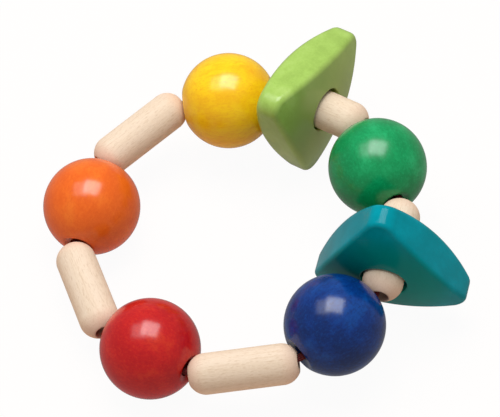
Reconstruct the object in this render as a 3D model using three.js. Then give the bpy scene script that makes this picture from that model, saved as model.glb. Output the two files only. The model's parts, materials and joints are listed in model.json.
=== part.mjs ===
// Clutching toy: a ring of five painted wooden balls and five plain wooden pegs, strung in turn
// on a closed loop of elastic cord, with two painted rounded triangles riding loose on two pegs.
// Millimetres, +Z up. The ring lies on its orange and red balls, propped by the lowest triangle;
// the origin is the bottom centre of the whole toy.
import * as THREE from 'three';
import { mergeVertices } from 'three/addons/utils/BufferGeometryUtils.js';

// Driving dimensions
const ballDiameter = 31;
const ballFlatDiameter = 14; // of the flat round each mouth of a ball's bore
const pegDiameter = 12.6;
const pegLength = 33.4;
const pegEndLength = 5.9; // half width of the ellipse that rounds a peg end, along the peg
const pegStandOut = 11.05; // of a peg's axis, outside the line between two balls' middles
const boreDiameter = 5.4; // drilled through every ball and peg
const boreChamfer = 0.4;
const cordDiameter = 2.4;
const cordOffset = 1.3; // the cord lies outwards in a ball's bore and inwards in a peg's
const cordLead = 1.2; // how deep in a bore the cord starts to turn towards the next bead
const knotDiameter = 6.2;
const knotLength = 9;
const knotBoreDiameter = 9.6; // wider hole in the yellow ball that hides the knot
const knotBoreDepth = 20;
const beadGap = 0.3; // least space between neighbouring beads
const triangleReach = 27; // from the middle of a triangle to a corner tip
const triangleCornerRadius = 5.3;
const triangleBulge = 1.25; // how far each side swells past straight
const triangleThickness = 16.3; // through the middle
const triangleDomeRadius = 80; // of the swollen faces
const triangleEdgeRadius = 1.6;
const triangleHoleClearance = 0.9; // between the hole and the peg, all round
const triangleSlack = 0.5; // how far a loose triangle settles off the middle of its peg
const limeGap = 0.3; // between the lime triangle and the yellow ball
const tealShift = -3.4; // of the teal triangle from mid peg, away from the green ball
const limeTurn = 10; // degrees, of one corner from outward towards up
const tealTurn = 88; // degrees, of one corner from outward towards up
const ringTurn = 82.1; // degrees, direction of the yellow ball from the ring's middle

// Counts of facets
const ballSides = 28;
const ballSteps = 16;
const pegSides = 22;
const roundSteps = 6;
const cordSides = 8;
const cordSteps = 6;
const cornerSteps = 6;
const sideSteps = 6;

// Colours
const paint = (color) => new THREE.MeshStandardMaterial({ color, roughness: 0.3, metalness: 0 });
const yellowPaint = paint(0xf5c50c);
const orangePaint = paint(0xe56a1b);
const redPaint = paint(0xc4201f);
const bluePaint = paint(0x15317c);
const greenPaint = paint(0x1c8a4a);
const limePaint = paint(0x86b53c);
const tealPaint = paint(0x007a78);
const bareWood = new THREE.MeshStandardMaterial({ color: 0xe3cfb4, roughness: 0.7, metalness: 0 });
const elastic = new THREE.MeshStandardMaterial({ color: 0x5e1519, roughness: 0.9, metalness: 0 });

const rad = THREE.MathUtils.degToRad;
const V2 = (x, y) => new THREE.Vector2(x, y);
const V3 = (x, y, z) => new THREE.Vector3(x, y, z);

const count = 5;
const bend = Math.PI / count; // turn of the cord between a ball and the next peg
const ballRadius = ballDiameter / 2;
const pegRadius = pegDiameter / 2;
const boreRadius = boreDiameter / 2;
const cordRadius = cordDiameter / 2;
const holeRadius = pegRadius + triangleHoleClearance;

// Only positions are kept, with shared corners merged.
function solid(geometry) {
  geometry.deleteAttribute('normal');
  geometry.deleteAttribute('uv');
  const merged = mergeVertices(geometry, 1e-4);
  merged.computeVertexNormals();
  return merged;
}

// Signed volume, positive when the faces point out.
function volume(points, faces) {
  let sum = 0;
  for (let i = 0; i < faces.length; i += 3) {
    const [a, b, c] = [points[faces[i]], points[faces[i + 1]], points[faces[i + 2]]];
    sum += a.dot(V3().crossVectors(b, c)) / 6;
  }
  return sum;
}

// Closed skin over rings of equal point counts; the last ring joins the first.
function skin(rings) {
  const n = rings[0].length;
  const points = rings.flat();
  const faces = [];
  rings.forEach((_, i) => {
    const a = i * n;
    const b = ((i + 1) % rings.length) * n;
    for (let j = 0; j < n; j++) {
      const k = (j + 1) % n;
      faces.push(a + j, b + j, b + k, a + j, b + k, a + k);
    }
  });
  if (volume(points, faces) < 0) faces.reverse();
  const geometry = new THREE.BufferGeometry().setFromPoints(points);
  geometry.setIndex(faces);
  return solid(geometry);
}

// Turned body with a closed outline of (radius, place along the axis), its axis along Y.
function turned(profile, sides) {
  const outline = [...profile, profile[0]].map(([r, x]) => V2(r, x));
  let area = 0;
  for (let i = 0; i + 1 < outline.length; i++) area += outline[i].cross(outline[i + 1]);
  if (area < 0) outline.reverse();
  return solid(new THREE.LatheGeometry(outline, sides));
}

const range = (n, from, to) => Array.from({ length: n + 1 }, (_, i) => from + ((to - from) * i) / n);

// Ball with a flat round each mouth of its bore. A wider hole from the -Y side takes the knot where
// one is asked for.
const flatRadius = ballFlatDiameter / 2;
const flatAt = Math.sqrt(ballRadius ** 2 - flatRadius ** 2);
const knotFloor = knotBoreDepth - flatAt;
function ballProfile(knotHole) {
  const wide = knotHole ? knotBoreDiameter / 2 : boreRadius;
  const rim = Math.asin(flatRadius / ballRadius);
  return [
    [boreRadius, flatAt - boreChamfer],
    [boreRadius + boreChamfer, flatAt],
    ...range(ballSteps, rim, Math.PI - rim).map((t) => [ballRadius * Math.sin(t), ballRadius * Math.cos(t)]),
    [wide + boreChamfer, -flatAt],
    [wide, boreChamfer - flatAt],
    ...(knotHole ? [[wide, knotFloor], [boreRadius, knotFloor]] : []),
  ];
}

// Peg end as (radius, distance in from the end), from the bore's rim to the full width.
const pegTip = Math.asin((boreRadius + boreChamfer) / pegRadius);
const pegEnd = range(roundSteps, pegTip, Math.PI / 2).map((t) => [
  pegRadius * Math.sin(t),
  pegEndLength * (Math.cos(pegTip) - Math.cos(t)),
]);
const pegHalf = [[boreRadius, boreChamfer], ...pegEnd];
const pegProfile = [
  ...pegHalf.map(([r, y]) => [r, y - pegLength / 2]),
  ...pegHalf.map(([r, y]) => [r, pegLength / 2 - y]).reverse(),
];

// A peg meets a ball at an angle. This is the room between them when the peg's end is so far from
// the ball's middle, counted along the peg.
function endRoom(reach) {
  const rooms = pegEnd.flatMap(([r, y]) => range(12, 0, Math.PI).map((t) => {
    const p = V3(pegStandOut - r * Math.cos(t), reach + y, r * Math.sin(t));
    p.applyAxisAngle(V3(0, 0, 1), bend);
    return Math.max(p.length() - ballRadius, p.y - flatAt);
  }));
  return Math.min(...rooms);
}
let [tooNear, pegReach] = [0, 2 * ballRadius];
for (let i = 0; i < 40; i++) {
  const middle = (tooNear + pegReach) / 2;
  if (endRoom(middle) < beadGap) tooNear = middle;
  else pegReach = middle;
}

// The ring: balls at the corners of a regular polygon, pegs outside the middles of its sides.
const halfSide = pegReach + pegLength / 2;
const ballRing = halfSide / Math.sin(bend);
const pegRing = halfSide / Math.tan(bend) + pegStandOut;

// One station of the ring: +X outward, +Y along the cord, +Z up.
function station(angle, radius) {
  const group = new THREE.Group();
  group.rotation.z = angle;
  group.position.set(radius * Math.cos(angle), radius * Math.sin(angle), 0);
  return group;
}
const ballAngle = (i) => rad(ringTurn) + 2 * bend * i;
const pegAngle = (i) => ballAngle(i) + bend;
const ballCentre = (i) => V3(ballRing, 0, 0).applyAxisAngle(V3(0, 0, 1), ballAngle(i));

function piece(name, geometry, material) {
  const mesh = new THREE.Mesh(geometry, material);
  mesh.name = name;
  return mesh;
}

const ring = new THREE.Group();

// Balls, with their bores along the cord. The knot hole opens towards the peg before the ball.
[
  ['yellow_ball', yellowPaint],
  ['orange_ball', orangePaint],
  ['red_ball', redPaint],
  ['blue_ball', bluePaint],
  ['green_ball', greenPaint],
].forEach(([name, material], i) => {
  const geometry = turned(ballProfile(i === 0), ballSides);
  ring.add(station(ballAngle(i), ballRing).add(piece(name, geometry, material)));
});

// Pegs
['yellow_orange', 'orange_red', 'red_blue', 'blue_green', 'green_yellow'].forEach((between, i) => {
  const mesh = piece(`${between}_peg`, turned(pegProfile, pegSides), bareWood);
  ring.add(station(pegAngle(i), pegRing).add(mesh));
});

// Rounded triangle with swollen sides, first corner along +X, as points in step with their angle.
function triangleOutline(inset) {
  const corner = triangleCornerRadius - inset;
  const spread = triangleReach - triangleCornerRadius;
  const middle = spread / 2 + triangleBulge; // mid side, less the corner radius
  const back = (spread ** 2 - middle ** 2) / (2 * triangleBulge);
  const points = [];
  for (let i = 0; i < 3; i++) {
    const to = rad(120 * i);
    const side = to + rad(60);
    const cornerAt = V2(spread * Math.cos(to), spread * Math.sin(to));
    const sideAt = V2(-back * Math.cos(side), -back * Math.sin(side));
    const half = cornerAt.clone().sub(sideAt).angle() - to;
    const open = Math.atan2(Math.sin(half), Math.cos(half));
    for (const t of range(cornerSteps, to - open, to + open)) {
      points.push(V2(corner * Math.cos(t), corner * Math.sin(t)).add(cornerAt));
    }
    const sweep = range(sideSteps, to + open, 2 * side - to - open).slice(1, -1);
    for (const t of sweep) {
      const r = back + middle + corner;
      points.push(V2(r * Math.cos(t), r * Math.sin(t)).add(sideAt));
    }
  }
  return points;
}

// Half thickness of a triangle at a distance from its middle.
function domeAt(r) {
  const fall = triangleDomeRadius - Math.sqrt(triangleDomeRadius ** 2 - r ** 2);
  return triangleThickness / 2 - fall;
}

// Triangle with its hole along Z: up the hole, out over one face, round the rim and back.
function triangleGeometry() {
  const rim = triangleOutline(0);
  const face = triangleOutline(triangleEdgeRadius);
  const hole = face.map((p) => p.clone().setLength(holeRadius));
  const ringAt = (points, lift) => points.map((p) => V3(p.x, p.y, lift(p)));
  const top = [0, 0.33, 0.66, 1].map((s) => {
    const points = hole.map((p, j) => p.clone().lerp(face[j], s));
    return ringAt(points, (p) => domeAt(p.length()));
  });
  const rounded = [0.3, 0.7, 1].map((s) => {
    const t = (s * Math.PI) / 2;
    return face.map((p, j) => {
      const q = p.clone().lerp(rim[j], Math.sin(t));
      return V3(q.x, q.y, domeAt(p.length()) - triangleEdgeRadius * (1 - Math.cos(t)));
    });
  });
  const upper = [...top, ...rounded];
  const lower = upper.map((points) => points.map((p) => V3(p.x, p.y, -p.z))).reverse();
  return skin([...upper, ...lower]);
}

// Triangles ride square and loose on their pegs. At a peg's station the hole runs along +Y, and a
// corner's turn is counted from outward towards up.
function triangle(name, material, i, turn, shift, rise) {
  const mesh = piece(name, triangleGeometry(), material);
  mesh.rotation.z = rad(turn);
  const upright = new THREE.Group();
  upright.rotation.x = Math.PI / 2;
  upright.position.set(0, shift, rise);
  ring.add(station(pegAngle(i), pegRing).add(upright.add(mesh)));
  return mesh;
}

// How far a triangle can move along its peg before it meets the ball after it.
function roomAhead(mesh, i) {
  ring.updateMatrixWorld(true);
  const along = V3(0, 0, -1).transformDirection(mesh.matrixWorld);
  const position = mesh.geometry.attributes.position;
  const centre = ballCentre(i);
  let room = Infinity;
  for (let i = 0; i < position.count; i++) {
    const p = V3().fromBufferAttribute(position, i).applyMatrix4(mesh.matrixWorld).sub(centre);
    const b = p.dot(along);
    const inside = b * b - p.lengthSq() + ballRadius ** 2;
    if (inside > 0) room = Math.min(room, -b - Math.sqrt(inside));
  }
  return room;
}

// The lime triangle stands on the table and carries its peg, and the teal one hangs on its peg.
const lime = triangle('lime_triangle', limePaint, 4, limeTurn, 0, triangleSlack);
lime.parent.position.y = roomAhead(lime, 5) - limeGap;
const teal = triangle('teal_triangle', tealPaint, 3, tealTurn, tealShift, -triangleSlack);

// Cord: straight through every bead, with an easy curve from each bore to the next, and the knot as
// a swelling in the yellow ball's wider hole.
function cordGeometry() {
  const centreLine = [];
  const at = (angle, x, y) => V2(x, y).rotateAround(V2(0, 0), angle);
  const inBall = (i, side) => at(ballAngle(i), ballRing + cordOffset, side * (flatAt - cordLead));
  const inPeg = (i, side) => at(pegAngle(i), pegRing - cordOffset, side * (pegLength / 2 - cordLead));
  const curve = (from, fromAngle, to, toAngle) => {
    const pull = from.distanceTo(to) * 0.45;
    const path = new THREE.CubicBezierCurve(
      from, at(fromAngle, 0, pull).add(from), at(toAngle, 0, -pull).add(to), to,
    );
    for (const t of range(cordSteps, 0, 1)) {
      centreLine.push({ at: path.getPoint(t), along: path.getTangent(t), radius: cordRadius });
    }
  };
  for (const t of range(6, 0, Math.PI)) {
    // knot, clear of its floor
    const swell = (knotDiameter / 2 - cordRadius) * Math.sin(t);
    const y = knotFloor - beadGap - knotLength * (1 - t / Math.PI);
    const along = at(ballAngle(0), 0, 1);
    centreLine.push({ at: at(ballAngle(0), ballRing + cordOffset, y), along, radius: cordRadius + swell });
  }
  for (let i = 0; i < count; i++) {
    curve(inBall(i, 1), ballAngle(i), inPeg(i, -1), pegAngle(i));
    curve(inPeg(i, 1), pegAngle(i), inBall(i + 1, -1), ballAngle(i + 1));
  }
  const turns = range(cordSides, 0, 2 * Math.PI).slice(0, -1);
  return skin(centreLine.map(({ at, along, radius }) => turns.map((t) => {
    const out = radius * Math.cos(t);
    return V3(at.x - along.y * out, at.y + along.x * out, radius * Math.sin(t));
  })));
}
ring.add(piece('elastic_cord', cordGeometry(), elastic));

// The ring lies on two balls and tips until the lowest point of a triangle comes down to the same
// level. Points are counted across the line between those balls and up from it.
ring.updateMatrixWorld(true);
const [restA, restB] = [ballCentre(1), ballCentre(2)];
const tipLine = restB.clone().sub(restA).normalize();
const inwards = V3(0, 0, 1).cross(tipLine);
let tip = 0;
for (const mesh of [lime, teal]) {
  const position = mesh.geometry.attributes.position;
  for (let i = 0; i < position.count; i++) {
    const p = V3().fromBufferAttribute(position, i).applyMatrix4(mesh.matrixWorld);
    const across = p.clone().sub(restA).dot(inwards);
    const needed = -Math.asin(ballRadius / Math.hypot(across, p.z)) - Math.atan2(p.z, across);
    tip = Math.max(tip, needed);
  }
}
const tipped = new THREE.Group().add(ring);
tipped.quaternion.setFromAxisAngle(tipLine, tip);

// Origin at the bottom centre of the whole toy.
tipped.updateMatrixWorld(true);
const box = new THREE.Box3().setFromObject(tipped, true);
tipped.position.set(-(box.min.x + box.max.x) / 2, -(box.min.y + box.max.y) / 2, -box.min.z);
const toy = new THREE.Group().add(tipped);

export default toy;
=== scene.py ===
# %% [markdown]
# A clutching toy for a baby: painted wooden balls and bare wooden pegs strung in turn on a loop of
# elastic, with two painted rounded triangles loose on two of the pegs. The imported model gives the
# place of every bead. This lesson dresses it: each bead is worked out again as a smooth surface,
# and gets the stain, lacquer or bare wood that the real one shows.

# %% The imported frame
import json

import bpy
import numpy as np
from mathutils import Matrix, Vector


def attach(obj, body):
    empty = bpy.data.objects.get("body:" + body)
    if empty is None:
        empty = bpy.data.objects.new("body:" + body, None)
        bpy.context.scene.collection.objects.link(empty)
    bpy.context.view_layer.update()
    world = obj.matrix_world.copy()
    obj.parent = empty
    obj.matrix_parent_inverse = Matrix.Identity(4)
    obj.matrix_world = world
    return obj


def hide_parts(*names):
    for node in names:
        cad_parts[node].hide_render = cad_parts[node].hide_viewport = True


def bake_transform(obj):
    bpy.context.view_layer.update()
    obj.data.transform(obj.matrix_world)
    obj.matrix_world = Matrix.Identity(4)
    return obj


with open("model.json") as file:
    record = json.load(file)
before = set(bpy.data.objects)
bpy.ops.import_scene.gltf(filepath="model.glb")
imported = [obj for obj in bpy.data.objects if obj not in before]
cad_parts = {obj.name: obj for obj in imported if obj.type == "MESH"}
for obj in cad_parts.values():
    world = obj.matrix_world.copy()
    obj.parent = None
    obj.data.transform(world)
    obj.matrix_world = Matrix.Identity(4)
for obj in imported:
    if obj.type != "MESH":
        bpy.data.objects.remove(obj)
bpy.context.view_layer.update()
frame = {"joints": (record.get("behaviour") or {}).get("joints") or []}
joints = {joint["name"]: joint for joint in frame["joints"]}

# %% [markdown]
# Sizes come next, in metres. Wooden beads are turned on a lathe, so a few lengths say everything:
# a ball is a diameter and a bore, a peg is a rod with rounded ends. The sizes are those of the
# solids, apart from the cones that seat the pegs' ends, where the solids have plain flats.

# %% Sizes
mm = 0.001
ball_radius = 15.5 * mm
flat_radius = 7 * mm  # of the flat that the solid has round each mouth of a ball's bore
flat = np.sqrt(ball_radius**2 - flat_radius**2)  # its distance from the ball's middle
still_seat = (4.6 * mm, 0.52)  # radius and slope of the shallow cone that seats a peg's end
wide_seat = (5.6 * mm, 0.34)  # where the peg tips as the ring folds, and round the knot's hole
rim_round = 0.7 * mm
least_cone = 0.1 * mm  # what a wide hole leaves of the cone
bore_radius = 2.7 * mm
bore_lip = 0.45 * mm  # rounding where a bore meets the outside
knot_bore_radius = 4.8 * mm
knot_bore_depth = 20 * mm  # of the wider hole in the yellow ball, from the flat
knot_bore_floor = knot_bore_depth - flat
peg_radius = 6.3 * mm
peg_length = 33.4 * mm
peg_end_length = 5.9 * mm
cord_radius = 1.2 * mm
cord_offset = 1.3 * mm  # the cord lies outwards in a ball's bore and inwards in a peg's
cord_lead = 1.2 * mm  # how deep in a bore the cord starts to turn
knot_radius = 3.1 * mm
knot_length = 9 * mm
knot_gap = 0.3 * mm  # from the knot to the floor of its hole

# %% [markdown]
# Every bead sits at a station on the ring. A station is four vectors: the bead's middle, the way
# out of the ring, the way along the cord, and the way up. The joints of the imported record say
# where each ball sits and how its bore runs. Five balls fix the whole ring: its middle is their
# mean, and a peg stands half way between two balls.

# %% Stations on the ring
colours = ["yellow", "orange", "red", "blue", "green"]
balls_at = np.array([joints[f"{c}_ball_spin"]["pos_m"] for c in colours])
alongs = np.array([joints[f"{c}_ball_spin"]["axis"] for c in colours])
ring_middle = balls_at.mean(axis=0)


def unit(v):
    """Each vector of an array divided by its own length."""
    return v / np.linalg.norm(v, axis=-1, keepdims=True)


outs = unit(balls_at - ring_middle)
ring_up = unit(np.cross(outs, alongs).mean(axis=0))
ball_stations = [(balls_at[i], outs[i], alongs[i], ring_up) for i in range(5)]

peg_names = [f"{colours[i]}_{colours[(i + 1) % 5]}_peg" for i in range(5)]
peg_reach = np.linalg.norm(np.array(joints["blue_green_peg_spin"]["pos_m"]) - ring_middle)
peg_outs = unit(outs + np.roll(outs, -1, axis=0))
peg_stations = [
    (ring_middle + peg_reach * out, out, np.cross(ring_up, out), ring_up) for out in peg_outs
]


def placed(station, x, y, z):
    """Points (x outward, y along the cord, z up) of a station, carried to the toy's frame."""
    middle, out, along, up = (np.asarray(v) for v in station)
    return middle + x[..., None] * out + y[..., None] * along + z[..., None] * up


print("ring radius", round(float(np.linalg.norm(balls_at[0] - ring_middle)) / mm, 2), "mm")

# %% [markdown]
# The camera stands where the photograph was taken from: above the front of the toy, a little to
# one side and slightly rolled. Its place was found by laying the five ball outlines over the
# picture. A long lens keeps the balls round.

# %% Camera
elevation, roll, azimuth = np.radians([55.41, -4.36, -7.00])
distance = 664.4 * mm
focal_pixels, picture_pixels = 2121, 500  # focal length and width of the picture
sensor_width = 36
slide_right, slide_up = 4.87 * mm, 5.47 * mm

level = np.array([np.cos(azimuth), np.sin(azimuth), 0])
ahead = np.array([-np.sin(azimuth), np.cos(azimuth), 0])
plumb = np.array([0, 0, 1.0])
view_up = ahead * np.sin(elevation) + plumb * np.cos(elevation)
view_in = ahead * np.cos(elevation) - plumb * np.sin(elevation)
image_right = np.cos(roll) * level + np.sin(roll) * view_up
image_up = np.cos(roll) * view_up - np.sin(roll) * level
eye = ring_middle - distance * view_in + slide_right * level + slide_up * view_up

camera_data = bpy.data.cameras.new("photo_camera")
camera_data.sensor_width = sensor_width
camera_data.lens = focal_pixels / picture_pixels * sensor_width
camera_data.clip_start = 0.01
camera = bpy.data.objects.new("photo_camera", camera_data)
bpy.context.scene.collection.objects.link(camera)
camera.matrix_world = Matrix(
    np.vstack([np.column_stack([image_right, image_up, -view_in, eye]), [0, 0, 0, 1]]).tolist()
)
bpy.context.scene.camera = camera
bpy.context.scene.view_settings.view_transform = "Standard"
print("camera lens", round(camera_data.lens, 1), "mm")

# %% [markdown]
# Shader arithmetic reads best as plain sums. A Wire holds one output of a node; adding or
# multiplying Wires adds the Math node for it. A Finish is one material, and its add method makes
# any other node: the settings go on first, then the values and links of the inputs.


# %% A small language for materials
def colour(code):
    """A written colour such as e0c8a8, as the linear values that a shader works in."""
    value = np.array([int(code[i : i + 2], 16) for i in (0, 2, 4)]) / 255
    linear = np.where(value <= 0.04045, value / 12.92, ((value + 0.055) / 1.055) ** 2.4)
    return (*linear.tolist(), 1.0)


class Wire:
    """One output of a shader node, with sums that add Math nodes."""

    def __init__(self, finish, socket):
        self.finish, self.socket = finish, socket

    def _math(self, operation, first, second):
        return self.finish.add("ShaderNodeMath", {0: first, 1: second}, operation=operation)

    def __add__(self, other):
        return self._math("ADD", self, other)

    __radd__ = __add__

    def __mul__(self, other):
        return self._math("MULTIPLY", self, other)

    __rmul__ = __mul__

    def __sub__(self, other):
        return self._math("SUBTRACT", self, other)

    def above(self, low, high):
        """0 below low, 1 above high, and a smooth rise between them."""
        return self.finish.add(
            "ShaderNodeMapRange", {0: self, 1: low, 2: high}, interpolation_type="SMOOTHSTEP"
        )


class Finish:
    """One material: a node tree and the ways to add to it."""

    def __init__(self, name):
        self.material = bpy.data.materials.new(name)
        self.material.use_nodes = True
        self.tree = self.material.node_tree
        self.tree.nodes.clear()

    def add(self, kind, inputs=None, out=0, **settings):
        """A node of any type: its settings first, then values or Wires for its inputs."""
        node = self.tree.nodes.new(kind)
        for key, value in settings.items():
            setattr(node, key, value)
        for key, value in (inputs or {}).items():
            if isinstance(value, Wire):
                self.tree.links.new(value.socket, node.inputs[key])
            else:
                node.inputs[key].default_value = value
        return Wire(self, node.outputs[out]) if len(node.outputs) else node

    def mix(self, amount, first, second):
        """The first colour where amount is 0 and the second where it is 1."""
        inputs = {0: amount, 6: first, 7: second}
        return self.add("ShaderNodeMix", inputs, out=2, data_type="RGBA", clamp_factor=True)

    def stretched(self, place, x, y, z):
        """A place with each direction counted in its own unit, for streaks and flecks."""
        return self.add("ShaderNodeVectorMath", {0: place, 1: (x, y, z)}, operation="MULTIPLY")

    def noise(self, place, detail=2.0, roughness=0.5, distortion=0.0):
        """Cloudy noise between 0 and 1, one cloud to each unit of the place."""
        inputs = {"Vector": place, "Scale": 1.0, "Detail": detail, "Roughness": roughness}
        return self.add("ShaderNodeTexNoise", {**inputs, "Distortion": distortion})

    def surface(self, shader):
        """Joins a shader to the material's output and returns the material."""
        self.add("ShaderNodeOutputMaterial", {"Surface": shader})
        return self.material


print("wires and finishes ready")

# %% [markdown]
# The room is a photographer's table under a soft lamp. The highlight near the top of each ball says
# where the lamp hangs: almost overhead and a little behind. It fades to the left, so a weaker panel
# hangs beside the lamp there. The light that comes back up from the table is warm. The camera sees
# the table nearly white everywhere, so only a breath of the toy's shadow stays on it, and the
# lacquer mirrors it as a duller grey.

# %% White table and soft lamp
room_level = 0.3  # brightness of the room on all sides
mirror_level = 0.3  # brightness of the table as the lacquer mirrors it
whiteness = 0.955  # share of plain glow in what camera and lacquer see of the table
half_side, table_drop = 3.0, 0.2 * mm
lamp_distance, lamp_side = 0.95, 0.6

world = bpy.data.worlds.new("white_room")
world.use_nodes = True
bpy.context.scene.world = world
world.node_tree.nodes["Background"].inputs["Color"].default_value = (1, 1, 1, 1)
world.node_tree.nodes["Background"].inputs["Strength"].default_value = room_level

paper = Finish("white_paper")
path = "ShaderNodeLightPath"
seen, mirrored = paper.add(path, out=0), paper.add(path, out=3)
lit = paper.add("ShaderNodeBsdfDiffuse", {"Color": (0.88, 0.66, 0.53, 1)})
strength = mirror_level + (1 - mirror_level) * seen
glow = paper.add("ShaderNodeEmission", {"Color": (1, 1, 1, 1), "Strength": strength})
share = (seen + mirrored) * whiteness
paper.surface(paper.add("ShaderNodeMixShader", {0: share, 1: lit, 2: glow}))

table_mesh = bpy.data.meshes.new("table")
square = [(-1, -1), (1, -1), (1, 1), (-1, 1)]
table_mesh.from_pydata([(half_side * x, half_side * y, 0) for x, y in square], [], [(0, 1, 2, 3)])
table = bpy.data.objects.new("table", table_mesh)
table_mesh.materials.append(paper.material)
bpy.context.scene.collection.objects.link(table)
table.location.z = -table_drop

lamp_way = unit(0.06 * level + 0.21 * ahead + 0.97 * plumb)
for name, aside, watts in (("softbox", 0.0, 8.3), ("side_panel", -0.45, 2.6)):
    lamp_data = bpy.data.lights.new(name, "AREA")
    lamp_data.shape = "SQUARE"
    lamp_data.size = lamp_side
    lamp_data.energy = watts
    lamp = bpy.data.objects.new(name, lamp_data)
    bpy.context.scene.collection.objects.link(lamp)
    lamp.location = Vector(ring_middle + lamp_distance * lamp_way + aside * level)
    lamp.rotation_euler = Vector(lamp_way).to_track_quat("Z", "Y").to_euler()
    print(name, "at", [round(v, 2) for v in lamp.location])

# %% [markdown]
# Every piece of this toy has one hole through it, so every piece is the same kind of surface: a
# closed outline carried round a closed path, like the skin of a ring doughnut. One function turns
# such a grid of points into a mesh. Beside each point it keeps the point's place in the wood, in
# millimetres along and across the grain, for the finishes to read.


# %% Grid to mesh
def ring_skin(name, points, grain, finish):
    """Mesh over a grid of points that closes on itself in both directions, faces outwards."""
    rows, columns = points.shape[:2]
    cell = np.arange(rows * columns).reshape(rows, columns)
    down, right = np.roll(cell, -1, axis=0), np.roll(cell, -1, axis=1)
    quads = np.stack([cell, down, np.roll(down, -1, axis=1), right], axis=-1).reshape(-1, 4)
    corners = points.reshape(-1, 3)
    a, b, c, d = (corners[quads[:, k]] - corners.mean(axis=0) for k in range(4))
    if (np.cross(a, b) * c + np.cross(a, c) * d).sum() < 0:
        quads = quads[:, ::-1]
    mesh = bpy.data.meshes.new(name)
    mesh.from_pydata(corners.tolist(), [], quads.tolist())
    mesh.shade_smooth()
    wood = mesh.attributes.new("wood", "FLOAT_VECTOR", "POINT")
    wood.data.foreach_set("vector", (grain.reshape(-1, 3) / mm).astype(np.float32).ravel())
    mesh.materials.append(finish)
    piece = bpy.data.objects.new(name, mesh)
    bpy.context.scene.collection.objects.link(piece)
    print(name, len(quads), "faces")
    return piece


def dress(piece, node):
    """The piece takes the node's place and moves with its body."""
    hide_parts(node)
    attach(piece, node)


# %% [markdown]
# The balls and triangles are stained and then dipped in clear lacquer. Stain soaks in unevenly, so
# the colour is deeper in soft clouds, in specks and in thin streaks along the grain. The lacquer is
# smooth, with a faint waviness where the grain swelled under it.


# %% Stained and lacquered wood
face_starts, face_full = 4.4, 7.2  # millimetres from a triangle's middle plane


def stained(name, tone, deep, pale, streaks, specked, shine, dull, face=None):
    """Stain in a tone, with deeper clouds, paler patches, specks and streaks, lacquered.

    The lacquer's roughness is about dull. A triangle's faces take the tone named face: partly the
    stain's own greener hue there, partly painted shade, deepest round the peg's hole.
    """
    paint = Finish(name)
    place = paint.add("ShaderNodeAttribute", out=1, attribute_name="wood")
    clouds = paint.noise(paint.stretched(place, 0.14, 0.09, 0.14), detail=3, roughness=0.55)
    strips = paint.stretched(place, 0.7, 0.03, 0.7)
    bands = paint.noise(strips, detail=2, roughness=0.6, distortion=0.2)
    lines = paint.noise(paint.stretched(place, 2.8, 0.07, 2.8), detail=2, roughness=0.6)
    specks = paint.noise(paint.stretched(place, 1.3, 0.9, 1.3), detail=3, roughness=0.75)
    body = paint.mix(clouds.above(0.42, 0.66) * 0.5, colour(tone), colour(deep))
    body = paint.mix(clouds.above(0.48, 0.3) * 0.6, body, colour(pale))
    body = paint.mix(bands.above(0.45, 0.8) * 0.4 * streaks, body, colour(deep))
    body = paint.mix(lines.above(0.5, 0.75) * 0.4 * streaks, body, colour(deep))
    body = paint.mix(specks.above(0.48, 0.7) * 0.6 * specked, body, colour(deep))
    body = paint.mix(specks.above(0.5, 0.28) * 0.5 * specked, body, colour(pale))
    # A triangle's face tone: partly the stain's own greener hue, partly painted shade, full on the
    # thick middle round the hole and fading towards the corners.
    if face:
        depth = paint.add("ShaderNodeSeparateXYZ", {0: place}, out=2)
        depth = paint.add("ShaderNodeMath", {0: depth}, operation="ABSOLUTE")
        body = paint.mix(depth.above(face_starts, face_full) * 0.85, body, colour(face))
    swell = paint.add(
        "ShaderNodeBump",
        {"Strength": 0.06, "Distance": 0.0003, "Height": lines * 0.6 + bands * 0.8 + specks * 0.4},
    )
    shader = paint.add(
        "ShaderNodeBsdfPrincipled",
        {
            "Base Color": body,
            "Roughness": 0.1 * specks + (dull - 0.05),
            "Specular IOR Level": shine,
            "Normal": swell,
        },
    )
    return paint.surface(shader)


ball_finishes = {
    "yellow": stained("yellow_stain", "fac912", "e9a210", "fcd31e", 1.2, 0.6, 0.45, 0.21),
    "orange": stained("orange_stain", "e8671b", "da5713", "ee7a25", 0.6, 0.8, 0.47, 0.19),
    "red": stained("red_stain", "c11c1c", "a80f18", "cc371e", 0.4, 0.9, 0.44, 0.19),
    "blue": stained("blue_stain", "053078", "041c4a", "0c4a96", 0.5, 0.8, 0.44, 0.2),
    "green": stained("green_stain", "049454", "007a42", "24ae6c", 0.5, 0.75, 0.5, 0.24),
}
# The face tones below are the stain's own hue on the faces mixed with painted shade.
lime_finish = stained(
    "lime_stain", "a0c25c", "8aa94a", "aecb6e", 0.3, 0.45, 0.4, 0.22, face="94ac58"
)
teal_finish = stained(
    "teal_stain", "008a98", "007c86", "0096a6", 0.2, 0.35, 0.1, 0.12, face="00867c"
)

# %% [markdown]
# A bead comes off a lathe, so one closed outline of radius against length says all of it, carried
# round the bore. A ball's outline starts in the bore, turns over the rounded lip on to a shallow
# cone that seats the peg's end, rounds off into the big arc, and comes back the same way at the
# other mouth. The cone is wider where the ring folds, so that the peg can tip. The yellow ball's
# bore is wider on one side, where the knot hides.


# %% Balls
lip_steps, rim_steps, arc_steps, around_steps = 6, 8, 84, 120
ball_grain = np.array([37, 0, 53])  # millimetres from one ball's wood to the next one's


def quarter(steps):
    """Sine and cosine over a quarter turn, as columns."""
    turn = np.linspace(0, np.pi / 2, steps)[:, None]
    return np.sin(turn), np.cos(turn)


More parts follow.
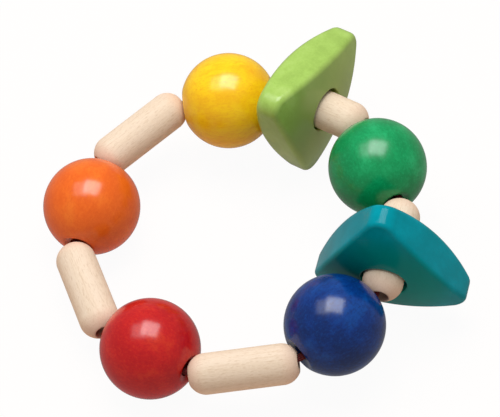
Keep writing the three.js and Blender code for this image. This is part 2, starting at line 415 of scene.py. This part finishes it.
def mouth_outline(radius, seat):
    """From a bore of this radius over its lip and up the cone, to where the big arc starts.

    The cone's height is h - slope (R0 - r), where h is the sphere's height at the rim's radius R0.
    The rim b is rounded by the parabola (1 - t)^2 a + 2 t (1 - t) b + t^2 c from cone to sphere.
    """
    rim_radius, slope = seat
    sine, cosine = quarter(lip_steps)
    rim_high = np.sqrt(ball_radius**2 - rim_radius**2)
    start = np.arcsin((rim_radius + rim_round) / ball_radius)
    inner = radius + bore_lip
    a_r = max(rim_radius - rim_round, inner + least_cone)
    inner_high, a_high = (rim_high - slope * (rim_radius - r) for r in (inner, a_r))
    a, b = np.array([a_r, a_high]), np.array([rim_radius, rim_high])
    c = ball_radius * np.array([np.sin(start), np.cos(start)])
    t = np.linspace(0, 1, rim_steps)[:, None]
    rim = (1 - t) ** 2 * a + 2 * t * (1 - t) * b + t**2 * c
    r = np.concatenate([radius + bore_lip * (1 - cosine), rim[:, :1]])
    y = np.concatenate([inner_high - bore_lip * (1 - sine), rim[:, 1:]])
    return r, y, start


def ball_outline(near_radius, near_seat, far_seat):
    """Closed outline of a ball; near_radius is the hole's radius where the cord comes in."""
    far_r, far_y, far_start = mouth_outline(bore_radius, far_seat)
    near_r, near_y, near_start = mouth_outline(near_radius, near_seat)
    t = np.linspace(far_start, np.pi - near_start, arc_steps)[1:-1, None]
    step = near_radius > bore_radius
    floor_r = np.array([[near_radius], [bore_radius]] if step else [[bore_radius]])
    floor_y = np.array([[knot_bore_floor], [knot_bore_floor]] if step else [[0.0]])
    r = np.concatenate([far_r, ball_radius * np.sin(t), near_r[::-1], floor_r])
    y = np.concatenate([far_y, ball_radius * np.cos(t), -near_y[::-1], floor_y])
    return r, y


def turned(name, outline, station, grain_turn, grain_shift, finish):
    """A lathe body at a station. Its place in the wood is turned and shifted, so no two match."""
    r, y = outline
    f = np.linspace(0, 2 * np.pi, around_steps, endpoint=False)[None, :]
    x, z, y = r * np.cos(f), r * np.sin(f), y + 0 * f
    across = (x + 1j * z) * np.exp(1j * grain_turn)
    grain = np.stack([across.real, y, across.imag], axis=-1) + grain_shift * mm
    return ring_skin(name, placed(station, x, y, z), grain, finish)


for i, name in enumerate(colours):
    near_radius = knot_bore_radius if name == "yellow" else bore_radius
    near_seat = wide_seat if name in ("yellow", "blue") else still_seat
    outline = ball_outline(near_radius, near_seat, wide_seat if name == "yellow" else still_seat)
    shift = (i + 1) * ball_grain
    ball = turned(f"{name}_ball_turned", outline, ball_stations[i], 0.0, shift, ball_finishes[name])
    dress(ball, f"{name}_ball")

# %% [markdown]
# The pegs are bare beech, sanded smooth. Beech is pale and pinkish, with fine lines along the peg
# and many short darker flecks. The rounded ends are a touch deeper and pinker: partly end grain,
# partly a painted reflection of the stained balls they sit in. Bare wood has almost no shine.

# %% Bare beech
end_starts, end_full = 10.5, 15.5  # millimetres from a peg's middle

beech = Finish("bare_beech")
place = beech.add("ShaderNodeAttribute", out=1, attribute_name="wood")
along = beech.add("ShaderNodeSeparateXYZ", {0: place}, out=1)
ends = beech.add("ShaderNodeMath", {0: along}, operation="ABSOLUTE").above(end_starts, end_full)
years = beech.noise(beech.stretched(place, 0.3, 0.02, 0.3), detail=2, roughness=0.5, distortion=0.3)
lines = beech.noise(beech.stretched(place, 2.4, 0.05, 2.4), detail=2, roughness=0.6)
flecks = beech.noise(beech.stretched(place, 3.8, 0.5, 3.8), detail=1, roughness=0.5)
fuzz = beech.noise(beech.stretched(place, 2.2, 1.2, 2.2), detail=3, roughness=0.7)
body = beech.mix(years.above(0.35, 0.7) * 0.5, colour("e4cfb8"), colour("dac2a6"))
body = beech.mix(lines.above(0.5, 0.72) * 0.3, body, colour("caaa88"))
body = beech.mix(flecks.above(0.54, 0.7) * 0.34, body, colour("b8946e"))
body = beech.mix(fuzz.above(0.45, 0.75) * 0.35, body, colour("efe0cc"))
# The ends' deeper pink tone: partly end grain, partly a painted reflection of the balls beside
# them.
body = beech.mix(ends * 0.45, body, colour("dcb9a2"))
rough = beech.add(
    "ShaderNodeBump",
    {"Strength": 0.22, "Distance": 0.00025, "Height": lines * 0.8 - flecks * 0.5 + fuzz * 0.3},
)
beech_finish = beech.surface(
    beech.add(
        "ShaderNodeBsdfPrincipled",
        {
            "Base Color": body,
            "Roughness": 0.62 + 0.2 * fuzz,
            "Specular IOR Level": 0.35,
            "Normal": rough,
        },
    )
)

# %% [markdown]
# A peg is a plain lathe job too: a rod whose ends are rounded off by half an ellipse, with the
# bore through it and its rim softened.


# %% Pegs
peg_grain = np.array([29, 0, 17])  # millimetres from one peg's wood to the next one's
peg_grain_turn = 0.9  # radians, in the same way
peg_lip_steps, peg_end_steps, peg_side_steps, peg_bore_steps = 5, 20, 14, 8


def peg_outline():
    """Closed outline of a peg, from bore to skin and back.

    Each end is part of an ellipse: radius = R sin t, depth = L (cos t0 - cos t), and the angle t0
    is where the bore's rim has cut the tip off.
    """
    s, c = quarter(peg_lip_steps)
    rim = bore_radius + bore_lip
    t0 = np.arcsin(rim / peg_radius)
    t = np.linspace(t0, np.pi / 2, peg_end_steps)[1:, None]
    radius = np.concatenate([bore_radius + bore_lip * (1 - c), peg_radius * np.sin(t)])
    depth = np.concatenate([bore_lip * (1 - s), peg_end_length * (np.cos(t0) - np.cos(t))])
    side = np.linspace(-1, 1, peg_side_steps)[1:-1, None] * (peg_length / 2 - peg_end_length)
    inner = np.linspace(1, -1, peg_bore_steps)[1:-1, None] * (peg_length / 2 - bore_lip)
    radius = np.concatenate([radius, side * 0 + peg_radius, radius[::-1], inner * 0 + bore_radius])
    length = np.concatenate([depth - peg_length / 2, side, peg_length / 2 - depth[::-1], inner])
    return radius, length


for i, name in enumerate(peg_names):
    shift, turn = (i + 1) * peg_grain, i * peg_grain_turn
    peg = turned(f"{name}_turned", peg_outline(), peg_stations[i], turn, shift, beech_finish)
    dress(peg, name)

# %% [markdown]
# The triangles are cut from thick board: three rounded corners, sides that swell a little, faces
# that dome, and a round hole for the peg. Their outline is six circle arcs, and the skin carries
# each point of it from the hole out over one face, round the rim and back over the other face.

# %% Triangles
reach, corner_radius, bulge = 27 * mm, 5.3 * mm, 1.25 * mm
thickness, dome_radius = 16.3 * mm, 80 * mm
hole_clearance = 0.9 * mm
hole_radius = peg_radius + hole_clearance
hole_lip = 0.5 * mm
slack = 0.5 * mm  # how far a loose triangle hangs, or stands and carries its peg
corner_steps, side_steps, face_steps, edge_steps, wall_steps, hole_steps = 25, 34, 26, 6, 12, 10
board_grain = 13 * mm, 41 * mm  # from one triangle's wood to the next one's


def triangle_outline(inset):
    """Rounded triangle as complex points: corner arcs of radius c round points at distance d, and
    sides of a radius that lifts each mid side by the bulge. An inset makes both arcs smaller."""
    d = reach - corner_radius
    mid = d / 2 + bulge
    back = (d**2 - mid**2) / (2 * bulge)
    side_middle = -back * np.exp(1j * np.pi / 3)
    open_angle = np.angle(d - side_middle)
    bend = np.linspace(-open_angle, open_angle, corner_steps)
    corner = d + (corner_radius - inset) * np.exp(1j * bend)
    sweep = np.linspace(open_angle, 2 * np.pi / 3 - open_angle, side_steps)[1:-1]
    side = side_middle + (back + mid + corner_radius - inset) * np.exp(1j * sweep)
    third = np.concatenate([corner, side])
    return np.concatenate([third, third * np.exp(2j * np.pi / 3), third * np.exp(4j * np.pi / 3)])


def dome(p):
    """Half thickness at a distance r from the middle: T/2 - (D - sqrt(D^2 - r^2))."""
    return thickness / 2 - dome_radius + np.sqrt(dome_radius**2 - np.abs(p) ** 2)


def triangle_skin(edge_radius):
    """Grid over a triangle: across the outline's points, and down from hole to rim to hole."""
    rim, face = triangle_outline(0), triangle_outline(edge_radius)
    way = face / np.abs(face)
    s, c = quarter(edge_steps)
    mouth_at = way * (hole_radius + hole_lip)
    lip = way * (hole_radius + hole_lip * (1 - c))
    lip_height = dome(mouth_at) - hole_lip * (1 - s)
    across = mouth_at + (face - mouth_at) * np.linspace(0, 1, face_steps)[1:, None]
    edge = face + (rim - face) * s[1:]
    edge_height = dome(face) - edge_radius * (1 - c[1:])
    plan = np.concatenate([lip, across, edge])
    high = np.concatenate([lip_height, dome(across), edge_height])
    wall = np.linspace(1, -1, wall_steps)[1:-1, None] * high[-1]
    inner = np.linspace(-1, 1, hole_steps)[1:-1, None] * high[0]
    plan = np.concatenate([plan, rim + 0 * wall, plan[::-1], plan[0] + 0 * inner])
    return plan, np.concatenate([high, wall, -high[::-1], inner])


def triangle(name, i, turn, shift, rise, edge_radius, finish, seed):
    """A triangle on peg i, turned by so many degrees from outward towards up.

    It is shifted along the peg and raised across it. The seed picks its wood.
    """
    plan, high = triangle_skin(edge_radius)
    plan = plan * np.exp(1j * np.radians(turn))
    x, y, z = plan.real, shift - high, plan.imag + rise
    grain = np.stack([x + board_grain[0] * seed, z + board_grain[1] * seed, -high], axis=-1)
    piece = ring_skin(f"{name}_cut", placed(peg_stations[i], x, y, z), grain, finish)
    dress(piece, name)


teal_place = {"turn": 88, "shift": -3.4 * mm, "rise": -slack}
lime_place = {"turn": 10, "shift": 5.24 * mm, "rise": slack}
triangle("teal_triangle", 3, **teal_place, edge_radius=1.6 * mm, finish=teal_finish, seed=1)
triangle("lime_triangle", 4, **lime_place, edge_radius=2.2 * mm, finish=lime_finish, seed=2)

# %% [markdown]
# The elastic is a round cord with a woven cover, dark red, that shows only in the mouths of the
# bores. It runs straight through every bead and turns a little between them. Its loop closes in a
# knot that hides in the wider hole of the yellow ball. The weave is two sets of threads that wind
# round the cord in opposite ways, so it is a pattern on length and angle.

# %% Elastic cord
thread_run, thread_turn = 4.2, 6.0  # angle of the threads' waves for a millimetre and a radian
pull = 0.45  # how far the cord keeps its way out of a bore, as a share of the span
curve_steps, cord_rings, cord_sides = 14, 640, 24

weave = Finish("woven_elastic")
place = weave.add("ShaderNodeAttribute", out=1, attribute_name="wood")
split = "ShaderNodeSeparateXYZ"
run, around = weave.add(split, {0: place}, out=0), weave.add(split, {0: place}, out=1)
left = weave.add("ShaderNodeMath", {0: run * thread_run + around * thread_turn}, operation="SINE")
right = weave.add("ShaderNodeMath", {0: run * thread_run - around * thread_turn}, operation="SINE")
threads = left * right * 0.5 + 0.5
lint = weave.noise(weave.stretched(place, 1.5, 3.0, 1.0), detail=2)
body = weave.mix(threads.above(0.2, 0.9), colour("561517"), colour("8a2a2a"))
body = weave.mix(lint.above(0.5, 0.8) * 0.4, body, colour("9c3a38"))
relief = weave.add("ShaderNodeBump", {"Strength": 0.5, "Distance": 0.0003, "Height": threads})
elastic_finish = weave.surface(
    weave.add(
        "ShaderNodeBsdfPrincipled",
        {"Base Color": body, "Roughness": 0.75 + 0.15 * lint, "Normal": relief},
    )
)


def cord_route():
    """Middle line of the cord, straight in the bores and curved from each bore to the next.

    A curve from a to b that leaves along d and arrives along e is a cubic with the four points a,
    a + h d, b - h e and b, where h is the pull times the distance from a to b.
    """
    ends = []
    for ball, peg in zip(ball_stations, peg_stations):
        for (middle, out, along, _), side, shift in (
            (ball, flat - cord_lead, cord_offset),
            (peg, peg_length / 2 - cord_lead, -cord_offset),
        ):
            ends.append((middle + shift * out - side * along, along))
            ends.append((middle + shift * out + side * along, along))
    t = np.linspace(0, 1, curve_steps)[:, None]
    points = []
    for k in range(1, len(ends), 2):
        (a, d), (b, e) = ends[k], ends[(k + 1) % len(ends)]
        h = pull * np.linalg.norm(b - a)
        leave = (1 - t) ** 3 * a + 3 * (1 - t) ** 2 * t * (a + h * d)
        arrive = 3 * (1 - t) * t**2 * (b - h * e) + t**3 * b
        points.append(leave + arrive)
    loop = np.concatenate([*points, points[0][:1]])
    run = np.concatenate([[0], np.cumsum(np.linalg.norm(np.diff(loop, axis=0), axis=1))])
    even = np.linspace(0, run[-1], cord_rings, endpoint=False)
    return even, np.stack([np.interp(even, run, loop[:, k]) for k in range(3)], axis=1)


run, line = cord_route()
print("cord loop", round(float(run[-1] + run[1]) / mm, 1), "mm")
tangent = unit(np.roll(line, -1, axis=0) - np.roll(line, 1, axis=0))
sideways = np.cross(tangent, ring_up)
knot_middle = knot_bore_floor - knot_length / 2 - knot_gap
from_knot = (line - balls_at[0]) @ alongs[0] - knot_middle
near_yellow = np.linalg.norm(line - balls_at[0], axis=1) < ball_radius
in_knot = near_yellow & (np.abs(from_knot) < knot_length / 2)
swell = np.where(in_knot, np.cos(np.pi * from_knot / knot_length), 0)
thick = cord_radius + (knot_radius - cord_radius) * swell
angle = np.linspace(0, 2 * np.pi, cord_sides, endpoint=False)[None, :, None]
off_line = np.cos(angle) * sideways[:, None] + np.sin(angle) * ring_up
tube = line[:, None] + thick[:, None, None] * off_line
turns = np.broadcast_to(angle * mm, tube.shape[:2] + (1,))
lengths = np.broadcast_to(run[:, None, None], turns.shape)
threaded = np.concatenate([lengths, turns, turns * 0], axis=-1)
cord = ring_skin("elastic_cord_woven", tube, threaded, elastic_finish)
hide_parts("elastic_cord")

# %% [markdown]
# When the ring folds, the cord bends where it passes from the yellow ball and the blue ball to
# their pegs. The fold line runs through both mouths; here that line and the way across it, towards
# the folding half, are worked out, and the cord's mesh is set in the toy's frame.

fold = joints["ring_fold"]
fold_middle = np.array(fold["pos_m"])
across = unit(np.cross(ring_up, np.array(fold["axis"])))
across = across * np.sign(np.dot(balls_at[1] - fold_middle, across))
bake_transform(cord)
